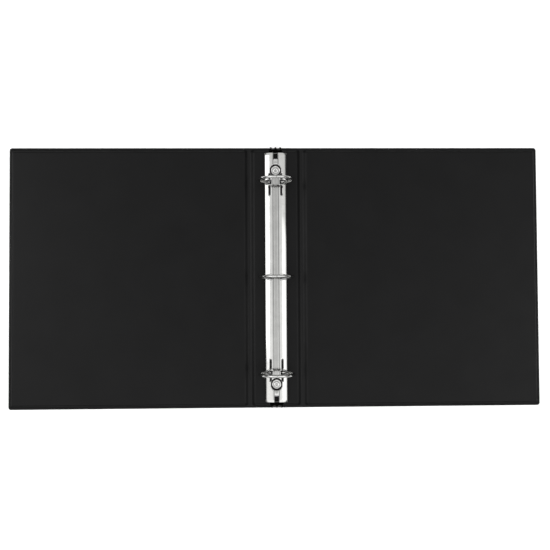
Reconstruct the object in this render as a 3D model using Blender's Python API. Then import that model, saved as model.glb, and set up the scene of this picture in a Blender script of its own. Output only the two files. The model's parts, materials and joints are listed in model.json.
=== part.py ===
"""Three-ring binder, lying open and flat with its inside up.

+X runs across the open case, +Y runs up the page and +Z points up.
The origin is the centre of the spine's underside. All sizes are in metres.
"""

from math import asin, cos, hypot, pi, radians, sin

import bmesh
import bpy
from mathutils import Vector

# --- Case ---------------------------------------------------------------
CASE_HEIGHT = 0.2970
COVER_WIDTH = 0.2727          # from a crease to the cover's free edge
SPINE_WIDTH = 0.0600          # from crease to crease
VINYL_THICKNESS = 0.0005
BOARD_THICKNESS = 0.0020
WELD_WIDTH = 0.0028           # flat welded margin round each board
CREASE_STRIP = 0.0040         # from a crease to the foot of the lining's slope
LINING_SLOPE_RUN = 0.0015     # where the lining climbs over the board's edge
CASE_CORNER_RADIUS = 0.0030
BOARD_CORNER_RADIUS = 0.0020
GAP = 0.0003                  # between neighbouring pieces

# --- Arch plate ---------------------------------------------------------
PLATE_WIDTH = 0.0248
PLATE_RISE = 0.0080
PLATE_CROWN_RISE = 0.0030     # of the curved crown above the upright side walls
PLATE_THICKNESS = 0.0009
PLATE_FULLNESS = 2.3          # exponent of the crown's curve, 2 is a parabola
PLATE_END_MARGIN = 0.0075     # from the case's edge to the plate's end
PLATE_LIP = 0.0025            # inward lip along each long edge
END_NOTCH_WIDTH = 0.0050
END_NOTCH_LENGTH = 0.0080
ARCH_SEGMENTS = 22

# --- Hinge plates that carry the rings ----------------------------------
HINGE_PLATE_THICKNESS = 0.0010
HINGE_PLATE_REST_DROP = 0.00092  # of the closed rings' inner plate edges below their hinge lines
HINGE_SIDE_CLEARANCE = 0.0003  # from the arch plate's inner wall to a hinge plate's edge
HINGE_LINE_RISE = 0.0026      # above the arch plate's bottom edge
HINGE_PLATE_OVERHANG = 0.00025  # outboard of the hinge line
HINGE_PLATE_HALF_GAP = 0.00025  # from the centre to a level plate's inner edge
HINGE_PLATE_END_INSET = 0.0104  # from the arch plate's end

# --- Rings --------------------------------------------------------------
RING_RADIUS = 0.0188          # to the centre of the wire
RING_WIRE_RADIUS = 0.00165
RING_BOTTOM_RISE = 0.0041     # full circle's lowest point above the arch plate's bottom edge
RING_END_INSET = 0.03305      # end rings, from the arch plate's end
RING_FOOT_X = 0.00625
RING_FOOT_BEND = 0.0022
RING_SLOT_SIDE_GAP = 0.00095
RING_SLOT_INNER_REACH = 0.0002  # slot's inner end, inboard of the foot's wire
RING_SLOT_SIDE_WALL = 0.00070   # metal left outboard of the slot
RING_SIDES = 12
RING_ARC_STEPS = 22
RING_BEND_STEPS = 4
TIP_PIN_RADIUS = 0.0007
TIP_PIN_LENGTH = 0.0009
TIP_SOCKET_DEPTH = 0.0013

# --- Rivets -------------------------------------------------------------
RIVET_END_INSET = 0.0201      # from the arch plate's end
RIVET_RADIUS = 0.0020
RIVET_FLANGE_RADIUS = 0.0050
RIVET_FLANGE_THICKNESS = 0.0008
RIVET_HEAD_RADIUS = 0.0031
RIVET_HEAD_THICKNESS = 0.0008
RIVET_BORE_RADIUS = 0.0012
RIVET_BORE_DEPTH = 0.0016
RIVET_SEGMENTS = 24
DISH_DEPTH = 0.0023           # pressed seat of a rivet in the arch plate
DISH_FLOOR_RADIUS = 0.0050
DISH_RIM_RADIUS = 0.0066
DISH_ROWS = 6
HINGE_PLATE_RIVET_CLEARANCE = 0.0014

# --- Levers -------------------------------------------------------------
LEVER_THICKNESS = 0.0010
LEVER_WIDTH = 0.0156
LEVER_TOP_WIDTH = 0.0120      # across the outer ribs at the pad's top
LEVER_TONGUE_WIDTH = 0.0080
LEVER_TONGUE_REACH = 0.0055   # inboard of the pivot
LEVER_PIVOT_INSET = 0.0070    # from the arch plate's end
LEVER_HUB_RADIUS = 0.0019
LEVER_HUB_WIDTH = 0.0120
LEVER_PIN_RADIUS = 0.0008
LEVER_PIN_HOLE_EDGE = 0.0002  # from a pin hole up to the plate's shoulder
LEVER_PAD_STANDOFF = 0.0012   # pad's centre outboard of the arch plate's end
LEVER_PAD_LEAN = 0.0024
LEVER_PAD_TOP = 0.0122        # above the arch plate's bottom edge
LEVER_RIB_WIDTH = 0.0013
LEVER_RIB_DEPTH = 0.0019
LEVER_BEND_RADIUS = 0.0022
LEVER_BEND_STEPS = 4

# --- Derived heights ----------------------------------------------------
BOARD_BOTTOM = VINYL_THICKNESS + GAP
BOARD_TOP = BOARD_BOTTOM + BOARD_THICKNESS
LINING_BOTTOM = BOARD_TOP + GAP
LINING_TOP = LINING_BOTTOM + VINYL_THICKNESS
PLATE_BASE = LINING_TOP + GAP
PLATE_CROWN = PLATE_BASE + PLATE_RISE
PLATE_SHOULDER = PLATE_CROWN - PLATE_CROWN_RISE
HINGE_LINE_Z = PLATE_BASE + HINGE_LINE_RISE
RING_CENTRE_Z = PLATE_BASE + RING_BOTTOM_RISE + RING_RADIUS
DISH_FLOOR_Z = PLATE_CROWN - DISH_DEPTH

# --- Derived places -----------------------------------------------------
HALF_HEIGHT = CASE_HEIGHT / 2
HALF_SPINE = SPINE_WIDTH / 2
PLATE_HALF_WIDTH = PLATE_WIDTH / 2
PLATE_END = HALF_HEIGHT - PLATE_END_MARGIN
PLATE_INSIDE_X = PLATE_HALF_WIDTH - PLATE_THICKNESS
HINGE_LINE_X = PLATE_INSIDE_X - HINGE_SIDE_CLEARANCE - HINGE_PLATE_OVERHANG
HINGE_PLATE_REST_TILT = asin(HINGE_PLATE_REST_DROP / HINGE_LINE_X)
HINGE_PLATE_END = PLATE_END - HINGE_PLATE_END_INSET
RING_PITCH = PLATE_END - RING_END_INSET
RING_PLACES = {"top": RING_PITCH, "middle": 0.0, "bottom": -RING_PITCH}
RIVET_Y = PLATE_END - RIVET_END_INSET
LEVER_PIVOT_Y = PLATE_END - LEVER_PIVOT_INSET
LEVER_PIVOT_Z = PLATE_SHOULDER - LEVER_PIN_HOLE_EDGE - GAP - LEVER_PIN_RADIUS
SIDES = {"left": -1, "right": 1}
ENDS = {"top": 1, "bottom": -1}


def crown_outer_z(x):
    """Return the height of the arch plate's outer skin at a distance x from the centre."""
    return PLATE_CROWN - PLATE_CROWN_RISE * (abs(x) / PLATE_HALF_WIDTH) ** PLATE_FULLNESS


def crown_inner_z(x):
    steepness = PLATE_CROWN_RISE * PLATE_FULLNESS / PLATE_HALF_WIDTH
    slope = steepness * (abs(x) / PLATE_HALF_WIDTH) ** (PLATE_FULLNESS - 1)
    return crown_outer_z(x) - PLATE_THICKNESS * hypot(1, slope)


def hinge_plate_z(x):
    """Return the height of a resting hinge plate's middle at a distance x from the centre."""
    return HINGE_LINE_Z - (HINGE_LINE_X - x) * sin(HINGE_PLATE_REST_TILT)


TONGUE_TOP = hinge_plate_z(0) - HINGE_PLATE_THICKNESS / 2 - GAP


# --- Mesh helpers -------------------------------------------------------
def clear_scene():
    for obj in list(bpy.data.objects):
        bpy.data.objects.remove(obj, do_unlink=True)


def make_material(name, colour, roughness, metallic):
    material = bpy.data.materials.new(name)
    material.use_nodes = True
    shader = material.node_tree.nodes["Principled BSDF"]
    shader.inputs["Base Color"].default_value = (*colour, 1.0)
    shader.inputs["Roughness"].default_value = roughness
    shader.inputs["Metallic"].default_value = metallic
    return material


def mesh_from_bmesh(name, bm, smooth=False):
    bmesh.ops.recalc_face_normals(bm, faces=bm.faces)
    mesh = bpy.data.meshes.new(name)
    bm.to_mesh(mesh)
    bm.free()
    if smooth:
        mesh.shade_smooth()
        mesh.set_sharp_from_angle(angle=radians(35))
    return mesh


def add_object(name, mesh, material=None, location=(0, 0, 0), tilt=0.0):
    obj = bpy.data.objects.new(name, mesh)
    bpy.context.scene.collection.objects.link(obj)
    obj.location = location
    obj.rotation_euler = (0, tilt, 0)
    if material:
        mesh.materials.append(material)
    return obj


def cut(target, cutter, operation="DIFFERENCE"):
    """Cut a tool out of a piece, or weld it on, and keep the tool as a wire guide."""
    cutter.hide_render = True
    cutter.display_type = "WIRE"
    modifier = target.modifiers.new(cutter.name, "BOOLEAN")
    modifier.operation = operation
    modifier.object = cutter
    modifier.solver = "EXACT"


def add_loop(bm, points):
    return [bm.verts.new(point) for point in points]


def bridge(bm, first, second):
    count = len(first)
    for i in range(count):
        j = (i + 1) % count
        bm.faces.new((first[i], first[j], second[j], second[i]))


def add_stack(bm, loops):
    """Join closed loops of equal length one to the next and cap both ends."""
    rows = [add_loop(bm, loop) for loop in loops]
    for lower, upper in zip(rows, rows[1:]):
        bridge(bm, lower, upper)
    bm.faces.new(rows[0])
    bm.faces.new(rows[-1])


def circle(radius, segments):
    angles = [2 * pi * i / segments for i in range(segments)]
    return [(radius * cos(angle), radius * sin(angle)) for angle in angles]


def add_upright_cylinder(bm, x, y, low, high, radius):
    outline = circle(radius, RIVET_SEGMENTS)
    add_stack(bm, [[(x + u, y + v, z) for u, v in outline] for z in (low, high)])


def add_cross_cylinder(bm, y, z, half_length, radius):
    outline = circle(radius, RIVET_SEGMENTS)
    add_stack(bm, [[(x, y + u, z + v) for u, v in outline] for x in (-half_length, half_length)])


def add_box(bm, low, high):
    corners = [(low[0], low[1]), (high[0], low[1]), (high[0], high[1]), (low[0], high[1])]
    add_stack(bm, [[(x, y, z) for x, y in corners] for z in (low[2], high[2])])


def rounded_path(points, radius, steps):
    """Round the corners of an open 2-D path with arcs."""
    path = [Vector(points[0])]
    for before, corner, after in zip(points, points[1:], points[2:]):
        corner = Vector(corner)
        inward = (Vector(before) - corner).normalized()
        outward = (Vector(after) - corner).normalized()
        half_angle = inward.angle(outward) / 2
        reach = radius * cos(half_angle) / sin(half_angle)
        centre = corner + (inward + outward).normalized() * (radius / sin(half_angle))
        start = corner + inward * reach - centre
        end = corner + outward * reach - centre
        for i in range(steps + 1):
            path.append(centre + start.lerp(end, i / steps).normalized() * radius)
    path.append(Vector(points[-1]))
    return path


def strip_outline(path, thickness):
    """Return the closed outline of a bent strip of even thickness."""
    left = []
    right = []
    for i, point in enumerate(path):
        before = (point - path[i - 1]).normalized() if i else None
        after = (path[i + 1] - point).normalized() if i + 1 < len(path) else None
        direction = ((before or after) + (after or before)).normalized()
        stretch = 1 / max(direction.dot(after or before), 0.5)
        side = Vector((-direction.y, direction.x)) * (thickness / 2 * stretch)
        left.append(point + side)
        right.append(point - side)
    return left + right[::-1]


# --- Case: covers, spine, boards and lining ------------------------------
def panel_outline(side, hinge_x, free_x, half_height, radius, corner_steps=4):
    """Outline of a cover: square at the crease, rounded at its free corners."""
    outline = [(hinge_x, -half_height)]
    for end in (-1, 1):
        centre_x = free_x - radius
        centre_y = end * (half_height - radius)
        for i in range(corner_steps + 1):
            turn = pi / 2 * i / corner_steps
            across, along = (sin(turn), cos(turn)) if end < 0 else (cos(turn), sin(turn))
            outline.append((centre_x + radius * across, centre_y + end * radius * along))
    outline.append((hinge_x, half_height))
    return [(side * x, y) for x, y in outline]


def spine_outline(half_width, half_height):
    signs = ((-1, -1), (1, -1), (1, 1), (-1, 1))
    return [(across * half_width, along * half_height) for across, along in signs]


def build_sheet(name, outline, low, high, material):
    bm = bmesh.new()
    add_stack(bm, [[(x, y, z) for x, y in outline] for z in (low, high)])
    return add_object(name, mesh_from_bmesh(name, bm), material)


def build_lining(name, edge, foot, crest, material):
    """Lining: flat round its welded margin, sloping up and over the board."""
    weld_bottom = VINYL_THICKNESS + GAP
    under = [(edge, weld_bottom), (foot, weld_bottom), (crest, LINING_BOTTOM)]
    over = [(outline, z + VINYL_THICKNESS) for outline, z in under]
    loops = [[(x, y, z) for x, y in outline] for outline, z in under[::-1] + over]
    bm = bmesh.new()
    add_stack(bm, loops)
    return add_object(name, mesh_from_bmesh(name, bm), material)


def build_cover(name, side, materials):
    hinge_x = HALF_SPINE + GAP
    free_x = HALF_SPINE + COVER_WIDTH

    def inset(hinge_inset, edge_inset, radius):
        near, far = HALF_SPINE + hinge_inset, free_x - edge_inset
        return panel_outline(side, near, far, HALF_HEIGHT - edge_inset, radius)

    edge = panel_outline(side, hinge_x, free_x, HALF_HEIGHT, CASE_CORNER_RADIUS)
    foot = inset(CREASE_STRIP, WELD_WIDTH, BOARD_CORNER_RADIUS)
    crest_run = LINING_SLOPE_RUN
    crest = inset(CREASE_STRIP + crest_run, WELD_WIDTH + crest_run, BOARD_CORNER_RADIUS)
    board_run = crest_run + GAP
    board = inset(CREASE_STRIP + board_run, WELD_WIDTH + board_run, BOARD_CORNER_RADIUS)
    build_sheet(f"{name}_outer_vinyl", edge, 0, VINYL_THICKNESS, materials["cover"])
    build_sheet(f"{name}_board", board, BOARD_BOTTOM, BOARD_TOP, materials["board"])
    build_lining(f"{name}_inner_vinyl", edge, foot, crest, materials["lining"])


def build_spine(materials):
    def inset(crease_inset, edge_inset):
        return spine_outline(HALF_SPINE - crease_inset, HALF_HEIGHT - edge_inset)

    edge = inset(GAP, 0)
    foot = inset(CREASE_STRIP, WELD_WIDTH)
    crest = inset(CREASE_STRIP + LINING_SLOPE_RUN, WELD_WIDTH + LINING_SLOPE_RUN)
    board_run = LINING_SLOPE_RUN + GAP
    board_outline = inset(CREASE_STRIP + board_run, WELD_WIDTH + board_run)
    build_sheet("spine_outer_vinyl", edge, 0, VINYL_THICKNESS, materials["cover"])
    board = build_sheet("spine_board", board_outline, BOARD_BOTTOM, BOARD_TOP, materials["board"])
    lining = build_lining("spine_inner_vinyl", edge, foot, crest, materials["lining"])
    bm = bmesh.new()
    counterbore_top = BOARD_BOTTOM + RIVET_FLANGE_THICKNESS + GAP
    for end in ENDS.values():
        outline = circle(RIVET_RADIUS + GAP, RIVET_SEGMENTS)
        wide = circle(RIVET_FLANGE_RADIUS + GAP, RIVET_SEGMENTS)
        levels = [(wide, VINYL_THICKNESS), (wide, counterbore_top)]
        levels += [(outline, counterbore_top), (outline, PLATE_BASE)]
        add_stack(bm, [[(u, v + end * RIVET_Y, z) for u, v in ring] for ring, z in levels])
    cutter = add_object("rivet_bore_cutter", mesh_from_bmesh("rivet_bore_cutter", bm))
    cut(board, cutter)
    bm = bmesh.new()
    for end in ENDS.values():
        add_upright_cylinder(bm, 0, end * RIVET_Y, BOARD_TOP, PLATE_BASE, RIVET_RADIUS + GAP)
    cut(lining, add_object("lining_hole_cutter", mesh_from_bmesh("lining_hole_cutter", bm)))


# --- Ring mechanism -------------------------------------------------------
def arch_profile():
    """Return the outer and inner profile of the arch plate as lists of (x, z)."""
    lip_x = PLATE_HALF_WIDTH - PLATE_LIP
    lip_top = PLATE_BASE + PLATE_THICKNESS
    outer = [(-lip_x, PLATE_BASE), (-PLATE_HALF_WIDTH, PLATE_BASE)]
    inner = [(-lip_x, lip_top), (-PLATE_INSIDE_X, lip_top)]
    for i in range(ARCH_SEGMENTS + 1):
        across = 2 * i / ARCH_SEGMENTS - 1
        outer.append((across * PLATE_HALF_WIDTH, crown_outer_z(across * PLATE_HALF_WIDTH)))
        inner.append((across * PLATE_INSIDE_X, crown_inner_z(across * PLATE_INSIDE_X)))
    outer += [(PLATE_HALF_WIDTH, PLATE_BASE), (lip_x, PLATE_BASE)]
    inner += [(PLATE_INSIDE_X, lip_top), (lip_x, lip_top)]
    return outer, inner


def dish_drop(x, y, z):
    """Return how far the plate is pressed down at a point by the rivet seats."""
    radius = min(hypot(x, y - end * RIVET_Y) for end in ENDS.values())
    share = min(max((radius - DISH_FLOOR_RADIUS) / (DISH_RIM_RADIUS - DISH_FLOOR_RADIUS), 0), 1)
    seat_z = DISH_FLOOR_Z + DISH_DEPTH * share * share * (3 - 2 * share)
    return min(seat_z - z, 0)


def build_arch_plate(material):
    outer, inner = arch_profile()
    rows = [-PLATE_END, PLATE_END]
    for end in ENDS.values():
        for i in range(-DISH_ROWS, DISH_ROWS + 1):
            rows.append(end * RIVET_Y + DISH_RIM_RADIUS * i / DISH_ROWS)
    rows.sort()
    sections = []
    for y in rows:
        drops = [dish_drop(x, y, z) for x, z in outer]
        skin = [(x, y, z + drop) for (x, z), drop in zip(outer, drops)]
        back = [(x, y, z + drop) for (x, z), drop in zip(inner, drops)]
        sections.append(skin + back[::-1])
    bm = bmesh.new()
    loops = [add_loop(bm, section) for section in sections]
    for first, second in zip(loops, loops[1:]):
        bridge(bm, first, second)
    count = len(outer)
    for loop in (loops[0], loops[-1]):
        skin, back = loop[:count], loop[:count - 1:-1]
        for i in range(count - 1):
            bm.faces.new((skin[i], skin[i + 1], back[i + 1], back[i]))
    plate = add_object("arch_plate", mesh_from_bmesh("arch_plate", bm, smooth=True), material)
    cut(plate, build_plate_cutter())


def build_plate_cutter():
    """Ring slots, rivet holes, end notches and lever pin holes."""
    bm = bmesh.new()
    slot_half = RING_WIRE_RADIUS + RING_SLOT_SIDE_GAP
    slot_inner = RING_FOOT_X - RING_WIRE_RADIUS - RING_SLOT_INNER_REACH
    slot_outer = PLATE_HALF_WIDTH - RING_SLOT_SIDE_WALL
    above = PLATE_CROWN + PLATE_THICKNESS
    for ring_y in RING_PLACES.values():
        for side in SIDES.values():
            near, far = sorted((side * slot_inner, side * slot_outer))
            add_box(bm, (near, ring_y - slot_half, HINGE_LINE_Z), (far, ring_y + slot_half, above))
    for end in ENDS.values():
        add_upright_cylinder(bm, 0, end * RIVET_Y, HINGE_LINE_Z, above, RIVET_RADIUS + GAP)
        notch = sorted((end * (PLATE_END - END_NOTCH_LENGTH), end * (PLATE_END + PLATE_THICKNESS)))
        notch_half = END_NOTCH_WIDTH / 2
        notch_low = LEVER_PIVOT_Z + LEVER_HUB_RADIUS
        add_box(bm, (-notch_half, notch[0], notch_low), (notch_half, notch[1], above))
        hole_radius = LEVER_PIN_RADIUS + GAP
        for side in SIDES.values():
            inner_x = LEVER_HUB_WIDTH / 2 + GAP
            reach = (side * inner_x, side * (PLATE_HALF_WIDTH + PLATE_THICKNESS))
            outline = circle(hole_radius, RIVET_SEGMENTS)
            centre = (end * LEVER_PIVOT_Y, LEVER_PIVOT_Z)
            add_stack(bm, [[(x, centre[0] + u, centre[1] + v) for u, v in outline] for x in sorted(reach)])
    return add_object("arch_plate_cutter", mesh_from_bmesh("arch_plate_cutter", bm))


def build_hinge_plates(material):
    """The two plates under the arch that carry the half rings."""
    bm = bmesh.new()
    low = PLATE_BASE
    high = DISH_FLOOR_Z
    for end in ENDS.values():
        radius = RIVET_RADIUS + HINGE_PLATE_RIVET_CLEARANCE
        add_upright_cylinder(bm, 0, end * RIVET_Y, low, high, radius)
    for side in SIDES.values():
        for ring_y in RING_PLACES.values():
            add_upright_cylinder(bm, side * RING_FOOT_X, ring_y, low, high, RING_WIRE_RADIUS + GAP)
    cutter = add_object("hinge_plate_cutter", mesh_from_bmesh("hinge_plate_cutter", bm))
    half = HINGE_PLATE_THICKNESS / 2
    inner = HINGE_LINE_X - HINGE_PLATE_HALF_GAP
    for name, side in SIDES.items():
        across = sorted((side * HINGE_PLATE_OVERHANG, -side * inner))
        bm = bmesh.new()
        add_box(bm, (across[0], -HINGE_PLATE_END, -half), (across[1], HINGE_PLATE_END, half))
        node = f"{name}_hinge_plate"
        place = (side * HINGE_LINE_X, 0, HINGE_LINE_Z)
        plate = add_object(node, mesh_from_bmesh(node, bm), material, place, -side * HINGE_PLATE_REST_TILT)
        cut(plate, cutter)


def half_ring_stations(side):
    """Return (x, z, heading, radius) along a half ring, from its tip to its foot.

    The heading is the wire's direction of travel, an angle in the XZ plane."""
    tip_x = side * GAP / 2
    tip_angle = pi / 2
    bend_share = (RING_FOOT_X + RING_FOOT_BEND) / (RING_RADIUS + RING_FOOT_BEND)
    foot_start_x = RING_FOOT_X + RING_FOOT_BEND * (1 - bend_share)
    foot_start_angle = pi / 2 + (pi - asin(foot_start_x / RING_RADIUS))
    top_z = RING_CENTRE_Z + RING_RADIUS
    stations = []
    if side < 0:
        stations.append((tip_x + TIP_PIN_LENGTH, top_z, tip_angle, TIP_PIN_RADIUS - GAP / 3))
        stations.append((tip_x, top_z, tip_angle, TIP_PIN_RADIUS))
    else:
        stations.append((tip_x + TIP_SOCKET_DEPTH, top_z, tip_angle, TIP_PIN_RADIUS + GAP))
        stations.append((tip_x, top_z, tip_angle, TIP_PIN_RADIUS + GAP))
    stations.append((tip_x, top_z, tip_angle, RING_WIRE_RADIUS))
    for i in range(1, RING_ARC_STEPS + 1):
        angle = tip_angle + (foot_start_angle - tip_angle) * i / RING_ARC_STEPS
        x = -side * RING_RADIUS * cos(angle)
        stations.append((x, RING_CENTRE_Z + RING_RADIUS * sin(angle), angle, RING_WIRE_RADIUS))
    bend_centre_x = stations[-1][0] - side * RING_FOOT_BEND * cos(foot_start_angle)
    bend_centre_z = stations[-1][1] + RING_FOOT_BEND * sin(foot_start_angle)
    for i in range(1, RING_BEND_STEPS + 1):
        angle = foot_start_angle + (pi - foot_start_angle) * i / RING_BEND_STEPS
        x = bend_centre_x + side * RING_FOOT_BEND * cos(angle)
        z = bend_centre_z - RING_FOOT_BEND * sin(angle)
        stations.append((x, z, angle, RING_WIRE_RADIUS))
    foot_bottom = hinge_plate_z(RING_FOOT_X) - HINGE_PLATE_THICKNESS / 2
    stations.append((stations[-1][0], foot_bottom, pi, RING_WIRE_RADIUS))
    return stations


def build_half_ring(name, side, ring_y, material):
    loops = []
    for x, z, angle, radius in half_ring_stations(side):
        outward = Vector((-side * cos(angle), sin(angle)))
        loop = []
        for u, v in circle(radius, RING_SIDES):
            loop.append((x + outward.x * u, v, z + outward.y * u - HINGE_LINE_Z))
        loops.append(loop)
    bm = bmesh.new()
    add_stack(bm, loops)
    bmesh.ops.translate(bm, verts=bm.verts, vec=(-side * HINGE_LINE_X, 0, 0))
    mesh = mesh_from_bmesh(name, bm, smooth=True)
    add_object(name, mesh, material, (side * HINGE_LINE_X, ring_y, HINGE_LINE_Z))


def build_rivet(name, end, material):
    """Tubular rivet: its flange lies hidden under the spine's board."""
    head_bottom = DISH_FLOOR_Z + GAP
    head_top = head_bottom + RIVET_HEAD_THICKNESS
    shoulder = RIVET_HEAD_THICKNESS / 2
    profile = [
        (RIVET_FLANGE_RADIUS, BOARD_BOTTOM),
        (RIVET_FLANGE_RADIUS, BOARD_BOTTOM + RIVET_FLANGE_THICKNESS),
        (RIVET_RADIUS, BOARD_BOTTOM + RIVET_FLANGE_THICKNESS),
        (RIVET_RADIUS, head_bottom),
        (RIVET_HEAD_RADIUS, head_bottom),
        (RIVET_HEAD_RADIUS, head_bottom + shoulder),
        (RIVET_HEAD_RADIUS - shoulder, head_top),
        (RIVET_BORE_RADIUS + shoulder / 2, head_top),
        (RIVET_BORE_RADIUS, head_top - shoulder / 2),
        (RIVET_BORE_RADIUS, head_top - RIVET_BORE_DEPTH),
    ]
    bm = bmesh.new()
    add_stack(bm, [[(u, v, z) for u, v in circle(radius, RIVET_SEGMENTS)] for radius, z in profile])
    add_object(name, mesh_from_bmesh(name, bm, smooth=True), material, (0, end * RIVET_Y, 0))


def add_cross_strip(bm, outline, half_width, end, centre_x=0.0):
    """Extrude a (y, z) outline along X; end turns it to face that end of the plate."""
    loops = [[(centre_x + x, end * y, z) for y, z in outline] for x in (-half_width, half_width)]
    add_stack(bm, loops)


def add_tapered_pad(bm, outline, foot_z, top_z, end):
    """Extrude the arm and pad's (y, z) outline along X, narrowing from the pad's foot to its top."""
    loops = []
    for side in SIDES.values():
        loop = []
        for y, z in outline:
            share = min(max((z - foot_z) / (top_z - foot_z), 0), 1)
            width = LEVER_WIDTH + (LEVER_TOP_WIDTH - LEVER_WIDTH) * share
            loop.append((side * width / 2, end * y, z))
        loops.append(loop)
    add_stack(bm, loops)


def build_lever(name, end, materials):
    """Lever: hub on its pin, tongue under the hinge plates, ribbed finger pad."""
    half = LEVER_THICKNESS / 2
    tongue_z = TONGUE_TOP - half - LEVER_PIVOT_Z
    hub_edge = LEVER_HUB_RADIUS - half
    tongue_tip = (-LEVER_TONGUE_REACH, tongue_z)
    tongue_knee = (-hub_edge - LEVER_THICKNESS, tongue_z)
    tongue_path = [Vector(tongue_tip), Vector(tongue_knee), Vector((-hub_edge / 2, -hub_edge / 2))]
    arm_z = -LEVER_THICKNESS
    pad_foot_y = LEVER_PIVOT_INSET + LEVER_PAD_STANDOFF
    pad_top_z = PLATE_BASE + LEVER_PAD_TOP - LEVER_PIVOT_Z
    pad_top_y = pad_foot_y + LEVER_PAD_LEAN
    arm_corners = [(hub_edge / 2, arm_z), (pad_foot_y, arm_z), (pad_top_y, pad_top_z)]
    arm_path = rounded_path(arm_corners, LEVER_BEND_RADIUS, LEVER_BEND_STEPS)
    rib_low = Vector((pad_foot_y, arm_z)).lerp(Vector((pad_top_y, pad_top_z)), 0.35)
    rib_outline = [
        (rib_low.x, rib_low.y),
        (rib_low.x + half, rib_low.y),
        (pad_top_y + half + LEVER_RIB_DEPTH, pad_top_z - half),
        (pad_top_y + half + LEVER_RIB_DEPTH, pad_top_z),
        (pad_top_y, pad_top_z),
    ]
    place = (0, end * LEVER_PIVOT_Y, LEVER_PIVOT_Z)

    bm = bmesh.new()
    add_cross_cylinder(bm, 0, 0, LEVER_HUB_WIDTH / 2, LEVER_HUB_RADIUS)
    lever = add_object(name, mesh_from_bmesh(name, bm, smooth=True), materials["lever"], place)

    pad_name = f"{name}_pad_guide"
    pad_outline = strip_outline(arm_path, LEVER_THICKNESS)
    bm = bmesh.new()
    add_tapered_pad(bm, pad_outline, arm_z + LEVER_BEND_RADIUS, pad_top_z, end)
    cut(lever, add_object(pad_name, mesh_from_bmesh(pad_name, bm), location=place), "UNION")
    tools = [("tongue", strip_outline(tongue_path, LEVER_THICKNESS), LEVER_TONGUE_WIDTH / 2, 0.0)]
    rib_x = (LEVER_TOP_WIDTH - LEVER_RIB_WIDTH) / 2
    for label, centre_x in (("left_rib", -rib_x), ("middle_rib", 0.0), ("right_rib", rib_x)):
        tools.append((label, rib_outline, LEVER_RIB_WIDTH / 2, centre_x))
    for label, outline, half_width, centre_x in tools:
        tool_name = f"{name}_{label}_guide"
        bm = bmesh.new()
        add_cross_strip(bm, outline, half_width, end, centre_x)
        cut(lever, add_object(tool_name, mesh_from_bmesh(tool_name, bm), location=place), "UNION")
    bm = bmesh.new()
    add_cross_cylinder(bm, 0, 0, LEVER_WIDTH, LEVER_PIN_RADIUS + GAP)
    bore_name = f"{name}_bore_cutter"
    cut(lever, add_object(bore_name, mesh_from_bmesh(bore_name, bm), location=place))

    bm = bmesh.new()
    add_cross_cylinder(bm, 0, 0, PLATE_HALF_WIDTH, LEVER_PIN_RADIUS)
    pin_mesh = mesh_from_bmesh(f"{name}_pin", bm, smooth=True)
    add_object(f"{name}_pin", pin_mesh, materials["pin"], place)


def build_binder():
    clear_scene()
    materials = {
        "cover": make_material("cover_vinyl", (0.020, 0.020, 0.021), 0.62, 0.0),
        "lining": make_material("lining_vinyl", (0.024, 0.024, 0.025), 0.66, 0.0),
        "board": make_material("greyboard", (0.33, 0.30, 0.26), 0.95, 0.0),
        "plate": make_material("nickel_plate", (0.78, 0.78, 0.77), 0.12, 1.0),
        "hinge_plate": make_material("zinc_steel", (0.52, 0.53, 0.54), 0.34, 1.0),
        "ring": make_material("nickel_wire", (0.76, 0.76, 0.75), 0.10, 1.0),
        "lever": make_material("nickel_lever", (0.70, 0.70, 0.69), 0.16, 1.0),
        "pin": make_material("steel_pin", (0.56, 0.56, 0.57), 0.25, 1.0),
        "rivet": make_material("nickel_rivet", (0.72, 0.72, 0.71), 0.18, 1.0),
    }
    build_cover("front", SIDES["left"], materials)
    build_spine(materials)
    build_cover("back", SIDES["right"], materials)
    build_arch_plate(materials["plate"])
    build_hinge_plates(materials["hinge_plate"])
    for place, ring_y in RING_PLACES.items():
        for side_name, side in SIDES.items():
            build_half_ring(f"{place}_{side_name}_half_ring", side, ring_y, materials["ring"])
    for end_name, end in ENDS.items():
        build_rivet(f"{end_name}_rivet", end, materials["rivet"])
        build_lever(f"{end_name}_lever", end, materials)


build_binder()
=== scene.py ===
"""Looks for the three-ring binder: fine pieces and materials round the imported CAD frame.

Places come from the frame's boxes and joints. All sizes are in metres.
"""

import json
from math import asin, cos, hypot, pi, radians, sin

import bmesh
import bpy
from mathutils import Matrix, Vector, noise


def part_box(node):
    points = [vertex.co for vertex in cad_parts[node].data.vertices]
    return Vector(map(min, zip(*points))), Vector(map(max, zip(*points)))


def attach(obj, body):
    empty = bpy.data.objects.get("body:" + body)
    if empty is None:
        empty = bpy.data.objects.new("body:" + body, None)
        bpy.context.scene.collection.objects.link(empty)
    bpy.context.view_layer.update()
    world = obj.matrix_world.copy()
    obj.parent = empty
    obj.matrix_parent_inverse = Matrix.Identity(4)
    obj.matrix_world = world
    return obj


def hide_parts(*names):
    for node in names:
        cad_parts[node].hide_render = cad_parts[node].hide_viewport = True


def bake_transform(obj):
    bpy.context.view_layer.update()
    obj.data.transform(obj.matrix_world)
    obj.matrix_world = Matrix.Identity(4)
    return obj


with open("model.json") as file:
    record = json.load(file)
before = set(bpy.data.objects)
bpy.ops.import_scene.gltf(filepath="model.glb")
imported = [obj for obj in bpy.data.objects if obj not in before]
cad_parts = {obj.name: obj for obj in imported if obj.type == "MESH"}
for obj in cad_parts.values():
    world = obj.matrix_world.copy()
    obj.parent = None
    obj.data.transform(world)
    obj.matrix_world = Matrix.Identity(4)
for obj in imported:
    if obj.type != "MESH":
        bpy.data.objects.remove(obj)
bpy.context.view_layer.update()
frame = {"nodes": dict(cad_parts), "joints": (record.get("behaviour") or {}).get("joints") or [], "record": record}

SIDES = {"left": -1, "right": 1}
ENDS = {"top": 1, "bottom": -1}
COVERS = {"front": -1, "back": 1}
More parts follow.
